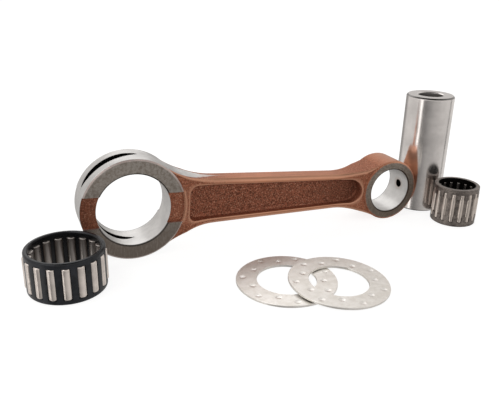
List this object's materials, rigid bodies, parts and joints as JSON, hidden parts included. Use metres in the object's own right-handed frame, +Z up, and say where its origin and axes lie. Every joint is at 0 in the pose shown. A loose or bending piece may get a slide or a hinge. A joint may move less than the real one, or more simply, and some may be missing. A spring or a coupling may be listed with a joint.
{
  "type": "connecting rod kit",
  "caption": "Forged two-stroke connecting rod with its crank pin, caged big-end and small-end bearings and thrust washers, laid out on a flat surface.",
  "frame": {"origin": "centre of the big-end bore, midway between the machined side faces", "axes": "+Y along the big-end bore, +X from the big end towards the small end, +Z up from the surface that every piece stands on"},
  "size_m": [0.2277, 0.0994, 0.0625],
  "materials": {
    "copper_plated_forging": "satin",
    "ground_steel": "polished",
    "black_oxide_cage": "satin",
    "brown_steel_cage": "satin",
    "ground_roller": "polished",
    "silver_plated_washer": "satin"
  },
  "bodies": {
    "connecting_rod": {"connecting_rod": "copper_plated_forging"},
    "crank_pin": {"crank_pin": "ground_steel"},
    "big_end_cage": {"big_end_cage": "black_oxide_cage"},
    "small_end_cage": {"small_end_cage": "brown_steel_cage"},
    "thrust_washer_1": {"thrust_washer_1": "silver_plated_washer"},
    "thrust_washer_2": {"thrust_washer_2": "silver_plated_washer"},
    "big_end_roller_1": {"big_end_roller_1": "ground_roller"},
    "big_end_roller_2": {"big_end_roller_2": "ground_roller"},
    "big_end_roller_3": {"big_end_roller_3": "ground_roller"},
    "big_end_roller_4": {"big_end_roller_4": "ground_roller"},
    "big_end_roller_5": {"big_end_roller_5": "ground_roller"},
    "big_end_roller_6": {"big_end_roller_6": "ground_roller"},
    "big_end_roller_7": {"big_end_roller_7": "ground_roller"},
    "big_end_roller_8": {"big_end_roller_8": "ground_roller"},
    "big_end_roller_9": {"big_end_roller_9": "ground_roller"},
    "big_end_roller_10": {"big_end_roller_10": "ground_roller"},
    "big_end_roller_11": {"big_end_roller_11": "ground_roller"},
    "big_end_roller_12": {"big_end_roller_12": "ground_roller"},
    "big_end_roller_13": {"big_end_roller_13": "ground_roller"},
    "big_end_roller_14": {"big_end_roller_14": "ground_roller"},
    "big_end_roller_15": {"big_end_roller_15": "ground_roller"},
    "big_end_roller_16": {"big_end_roller_16": "ground_roller"},
    "big_end_roller_17": {"big_end_roller_17": "ground_roller"},
    "small_end_needle_1": {"small_end_needle_1": "ground_roller"},
    "small_end_needle_2": {"small_end_needle_2": "ground_roller"},
    "small_end_needle_3": {"small_end_needle_3": "ground_roller"},
    "small_end_needle_4": {"small_end_needle_4": "ground_roller"},
    "small_end_needle_5": {"small_end_needle_5": "ground_roller"},
    "small_end_needle_6": {"small_end_needle_6": "ground_roller"},
    "small_end_needle_7": {"small_end_needle_7": "ground_roller"},
    "small_end_needle_8": {"small_end_needle_8": "ground_roller"},
    "small_end_needle_9": {"small_end_needle_9": "ground_roller"},
    "small_end_needle_10": {"small_end_needle_10": "ground_roller"},
    "small_end_needle_11": {"small_end_needle_11": "ground_roller"},
    "small_end_needle_12": {"small_end_needle_12": "ground_roller"},
    "small_end_needle_13": {"small_end_needle_13": "ground_roller"},
    "small_end_needle_14": {"small_end_needle_14": "ground_roller"},
    "small_end_needle_15": {"small_end_needle_15": "ground_roller"},
    "small_end_needle_16": {"small_end_needle_16": "ground_roller"}
  },
  "joints": [
    {"name": "crank_pin_lift", "type": "slide", "parent": "connecting_rod", "child": "crank_pin", "axis": [0, 0, 1], "range_m": [0, 0.08]},
    {"name": "big_end_cage_lift", "type": "slide", "parent": "connecting_rod", "child": "big_end_cage", "axis": [0, 0, 1], "range_m": [0, 0.06]},
    {"name": "small_end_cage_lift", "type": "slide", "parent": "connecting_rod", "child": "small_end_cage", "axis": [0, 0, 1], "range_m": [0, 0.06]},
    {"name": "thrust_washer_1_lift", "type": "slide", "parent": "connecting_rod", "child": "thrust_washer_1", "axis": [0, 0, 1], "range_m": [0, 0.05]},
    {"name": "thrust_washer_2_lift", "type": "slide", "parent": "thrust_washer_1", "child": "thrust_washer_2", "axis": [0, 0, 1], "range_m": [0, 0.05]},
    {"name": "big_end_roller_1_spin", "type": "hinge", "parent": "big_end_cage", "child": "big_end_roller_1", "pos_m": [-0.01935, -0.01488, -0.0144], "axis": [0, 0, 1], "continuous": true},
    {"name": "big_end_roller_2_spin", "type": "hinge", "parent": "big_end_cage", "child": "big_end_roller_2", "pos_m": [-0.02287, -0.01088, -0.0144], "axis": [0, 0, 1], "continuous": true},
    {"name": "big_end_roller_3_spin", "type": "hinge", "parent": "big_end_cage", "child": "big_end_roller_3", "pos_m": [-0.0276, -0.00843, -0.0144], "axis": [0, 0, 1], "continuous": true},
    {"name": "big_end_roller_4_spin", "type": "hinge", "parent": "big_end_cage", "child": "big_end_roller_4", "pos_m": [-0.0329, -0.00784, -0.0144], "axis": [0, 0, 1], "continuous": true},
    {"name": "big_end_roller_5_spin", "type": "hinge", "parent": "big_end_cage", "child": "big_end_roller_5", "pos_m": [-0.03805, -0.00921, -0.0144], "axis": [0, 0, 1], "continuous": true},
    {"name": "big_end_roller_6_spin", "type": "hinge", "parent": "big_end_cage", "child": "big_end_roller_6", "pos_m": [-0.04236, -0.01235, -0.0144], "axis": [0, 0, 1], "continuous": true},
    {"name": "big_end_roller_7_spin", "type": "hinge", "parent": "big_end_cage", "child": "big_end_roller_7", "pos_m": [-0.04524, -0.01683, -0.0144], "axis": [0, 0, 1], "continuous": true},
    {"name": "big_end_roller_8_spin", "type": "hinge", "parent": "big_end_cage", "child": "big_end_roller_8", "pos_m": [-0.04631, -0.02205, -0.0144], "axis": [0, 0, 1], "continuous": true},
    {"name": "big_end_roller_9_spin", "type": "hinge", "parent": "big_end_cage", "child": "big_end_roller_9", "pos_m": [-0.04542, -0.02731, -0.0144], "axis": [0, 0, 1], "continuous": true},
    {"name": "big_end_roller_10_spin", "type": "hinge", "parent": "big_end_cage", "child": "big_end_roller_10", "pos_m": [-0.04269, -0.03188, -0.0144], "axis": [0, 0, 1], "continuous": true},
    {"name": "big_end_roller_11_spin", "type": "hinge", "parent": "big_end_cage", "child": "big_end_roller_11", "pos_m": [-0.0385, -0.03517, -0.0144], "axis": [0, 0, 1], "continuous": true},
    {"name": "big_end_roller_12_spin", "type": "hinge", "parent": "big_end_cage", "child": "big_end_roller_12", "pos_m": [-0.0334, -0.03671, -0.0144], "axis": [0, 0, 1], "continuous": true},
    {"name": "big_end_roller_13_spin", "type": "hinge", "parent": "big_end_cage", "child": "big_end_roller_13", "pos_m": [-0.02808, -0.03631, -0.0144], "axis": [0, 0, 1], "continuous": true},
    {"name": "big_end_roller_14_spin", "type": "hinge", "parent": "big_end_cage", "child": "big_end_roller_14", "pos_m": [-0.02327, -0.03402, -0.0144], "axis": [0, 0, 1], "continuous": true},
    {"name": "big_end_roller_15_spin", "type": "hinge", "parent": "big_end_cage", "child": "big_end_roller_15", "pos_m": [-0.01962, -0.03015, -0.0144], "axis": [0, 0, 1], "continuous": true},
    {"name": "big_end_roller_16_spin", "type": "hinge", "parent": "big_end_cage", "child": "big_end_roller_16", "pos_m": [-0.01761, -0.02521, -0.0144], "axis": [0, 0, 1], "continuous": true},
    {"name": "big_end_roller_17_spin", "type": "hinge", "parent": "big_end_cage", "child": "big_end_roller_17", "pos_m": [-0.01751, -0.01988, -0.0144], "axis": [0, 0, 1], "continuous": true},
    {"name": "small_end_needle_1_spin", "type": "hinge", "parent": "small_end_cage", "child": "small_end_needle_1", "pos_m": [0.1754, -0.0139, -0.0133], "axis": [0, 0, 1], "continuous": true},
    {"name": "small_end_needle_2_spin", "type": "hinge", "parent": "small_end_cage", "child": "small_end_needle_2", "pos_m": [0.17215, -0.01157, -0.0133], "axis": [0, 0, 1], "continuous": true},
    {"name": "small_end_needle_3_spin", "type": "hinge", "parent": "small_end_cage", "child": "small_end_needle_3", "pos_m": [0.16826, -0.01065, -0.0133], "axis": [0, 0, 1], "continuous": true},
    {"name": "small_end_needle_4_spin", "type": "hinge", "parent": "small_end_cage", "child": "small_end_needle_4", "pos_m": [0.16431, -0.01129, -0.0133], "axis": [0, 0, 1], "continuous": true},
    {"name": "small_end_needle_5_spin", "type": "hinge", "parent": "small_end_cage", "child": "small_end_needle_5", "pos_m": [0.16091, -0.0134, -0.0133], "axis": [0, 0, 1], "continuous": true},
    {"name": "small_end_needle_6_spin", "type": "hinge", "parent": "small_end_cage", "child": "small_end_needle_6", "pos_m": [0.15858, -0.01664, -0.0133], "axis": [0, 0, 1], "continuous": true},
    {"name": "small_end_needle_7_spin", "type": "hinge", "parent": "small_end_cage", "child": "small_end_needle_7", "pos_m": [0.15766, -0.02054, -0.0133], "axis": [0, 0, 1], "continuous": true},
    {"name": "small_end_needle_8_spin", "type": "hinge", "parent": "small_end_cage", "child": "small_end_needle_8", "pos_m": [0.1583, -0.02448, -0.0133], "axis": [0, 0, 1], "continuous": true},
    {"name": "small_end_needle_9_spin", "type": "hinge", "parent": "small_end_cage", "child": "small_end_needle_9", "pos_m": [0.16041, -0.02789, -0.0133], "axis": [0, 0, 1], "continuous": true},
    {"name": "small_end_needle_10_spin", "type": "hinge", "parent": "small_end_cage", "child": "small_end_needle_10", "pos_m": [0.16365, -0.03022, -0.0133], "axis": [0, 0, 1], "continuous": true},
    {"name": "small_end_needle_11_spin", "type": "hinge", "parent": "small_end_cage", "child": "small_end_needle_11", "pos_m": [0.16755, -0.03114, -0.0133], "axis": [0, 0, 1], "continuous": true},
    {"name": "small_end_needle_12_spin", "type": "hinge", "parent": "small_end_cage", "child": "small_end_needle_12", "pos_m": [0.17149, -0.0305, -0.0133], "axis": [0, 0, 1], "continuous": true},
    {"name": "small_end_needle_13_spin", "type": "hinge", "parent": "small_end_cage", "child": "small_end_needle_13", "pos_m": [0.17489, -0.02839, -0.0133], "axis": [0, 0, 1], "continuous": true},
    {"name": "small_end_needle_14_spin", "type": "hinge", "parent": "small_end_cage", "child": "small_end_needle_14", "pos_m": [0.17723, -0.02515, -0.0133], "axis": [0, 0, 1], "continuous": true},
    {"name": "small_end_needle_15_spin", "type": "hinge", "parent": "small_end_cage", "child": "small_end_needle_15", "pos_m": [0.17815, -0.02125, -0.0133], "axis": [0, 0, 1], "continuous": true},
    {"name": "small_end_needle_16_spin", "type": "hinge", "parent": "small_end_cage", "child": "small_end_needle_16", "pos_m": [0.1775, -0.01731, -0.0133], "axis": [0, 0, 1], "continuous": true}
  ],
  "couplings": [
    {"joint": "big_end_roller_2_spin", "follows": "big_end_roller_1_spin", "ratio": 1},
    {"joint": "big_end_roller_3_spin", "follows": "big_end_roller_1_spin", "ratio": 1},
    {"joint": "big_end_roller_4_spin", "follows": "big_end_roller_1_spin", "ratio": 1},
    {"joint": "big_end_roller_5_spin", "follows": "big_end_roller_1_spin", "ratio": 1},
    {"joint": "big_end_roller_6_spin", "follows": "big_end_roller_1_spin", "ratio": 1},
    {"joint": "big_end_roller_7_spin", "follows": "big_end_roller_1_spin", "ratio": 1},
    {"joint": "big_end_roller_8_spin", "follows": "big_end_roller_1_spin", "ratio": 1},
    {"joint": "big_end_roller_9_spin", "follows": "big_end_roller_1_spin", "ratio": 1},
    {"joint": "big_end_roller_10_spin", "follows": "big_end_roller_1_spin", "ratio": 1},
    {"joint": "big_end_roller_11_spin", "follows": "big_end_roller_1_spin", "ratio": 1},
    {"joint": "big_end_roller_12_spin", "follows": "big_end_roller_1_spin", "ratio": 1},
    {"joint": "big_end_roller_13_spin", "follows": "big_end_roller_1_spin", "ratio": 1},
    {"joint": "big_end_roller_14_spin", "follows": "big_end_roller_1_spin", "ratio": 1},
    {"joint": "big_end_roller_15_spin", "follows": "big_end_roller_1_spin", "ratio": 1},
    {"joint": "big_end_roller_16_spin", "follows": "big_end_roller_1_spin", "ratio": 1},
    {"joint": "big_end_roller_17_spin", "follows": "big_end_roller_1_spin", "ratio": 1},
    {"joint": "small_end_needle_2_spin", "follows": "small_end_needle_1_spin", "ratio": 1},
    {"joint": "small_end_needle_3_spin", "follows": "small_end_needle_1_spin", "ratio": 1},
    {"joint": "small_end_needle_4_spin", "follows": "small_end_needle_1_spin", "ratio": 1},
    {"joint": "small_end_needle_5_spin", "follows": "small_end_needle_1_spin", "ratio": 1},
    {"joint": "small_end_needle_6_spin", "follows": "small_end_needle_1_spin", "ratio": 1},
    {"joint": "small_end_needle_7_spin", "follows": "small_end_needle_1_spin", "ratio": 1},
    {"joint": "small_end_needle_8_spin", "follows": "small_end_needle_1_spin", "ratio": 1},
    {"joint": "small_end_needle_9_spin", "follows": "small_end_needle_1_spin", "ratio": 1},
    {"joint": "small_end_needle_10_spin", "follows": "small_end_needle_1_spin", "ratio": 1},
    {"joint": "small_end_needle_11_spin", "follows": "small_end_needle_1_spin", "ratio": 1},
    {"joint": "small_end_needle_12_spin", "follows": "small_end_needle_1_spin", "ratio": 1},
    {"joint": "small_end_needle_13_spin", "follows": "small_end_needle_1_spin", "ratio": 1},
    {"joint": "small_end_needle_14_spin", "follows": "small_end_needle_1_spin", "ratio": 1},
    {"joint": "small_end_needle_15_spin", "follows": "small_end_needle_1_spin", "ratio": 1},
    {"joint": "small_end_needle_16_spin", "follows": "small_end_needle_1_spin", "ratio": 1}
  ]
}
